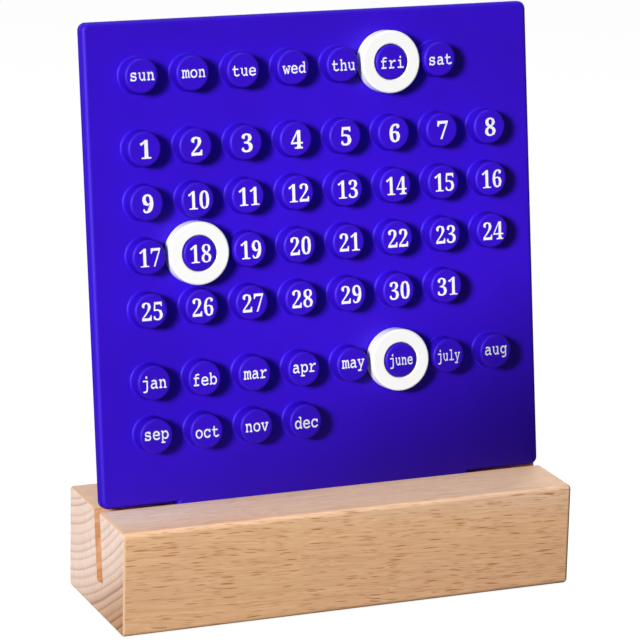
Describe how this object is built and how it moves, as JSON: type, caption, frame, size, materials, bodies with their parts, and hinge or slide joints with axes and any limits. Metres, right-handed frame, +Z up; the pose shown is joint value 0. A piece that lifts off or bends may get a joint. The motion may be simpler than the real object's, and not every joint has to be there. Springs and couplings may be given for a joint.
{
  "type": "perpetual desk calendar",
  "caption": "Perpetual desk calendar: a leaning panel of pegs stands in a slot in a beech block, and lift-off rings mark the day, date and month.",
  "frame": {"origin": "centre of the block's underside, on the surface it stands on", "axes": "+X along the block, to the reader's right; +Y from the pegs' side to the back; +Z up"},
  "size_m": [0.1466, 0.0494, 0.1754],
  "materials": {
    "beech": "planed and sanded, with eased edges and a thin matt oil finish",
    "blue_plastic": "moulded, satin",
    "white_plastic": "moulded, smooth matt",
    "white_ink": "pad-printed ink"
  },
  "bodies": {
    "base": {"base_block": "beech"},
    "panel": {"calendar_panel": "blue_plastic"},
    "day_marker": {"day_ring": "white_plastic"},
    "date_marker": {"date_ring": "white_plastic"},
    "month_marker": {"month_ring": "white_plastic"}
  },
  "joints": [
    {"name": "panel_lift", "type": "slide", "parent": "base", "child": "panel", "axis": [0, 0.1478, 0.989], "range_m": [0, 0.03]},
    {"name": "day_ring_lift", "type": "slide", "parent": "panel", "child": "day_marker", "axis": [0, -0.989, 0.1478], "range_m": [0, 0.014]},
    {"name": "date_ring_lift", "type": "slide", "parent": "panel", "child": "date_marker", "axis": [0, -0.989, 0.1478], "range_m": [0, 0.014]},
    {"name": "month_ring_lift", "type": "slide", "parent": "panel", "child": "month_marker", "axis": [0, -0.989, 0.1478], "range_m": [0, 0.014]}
  ]
}
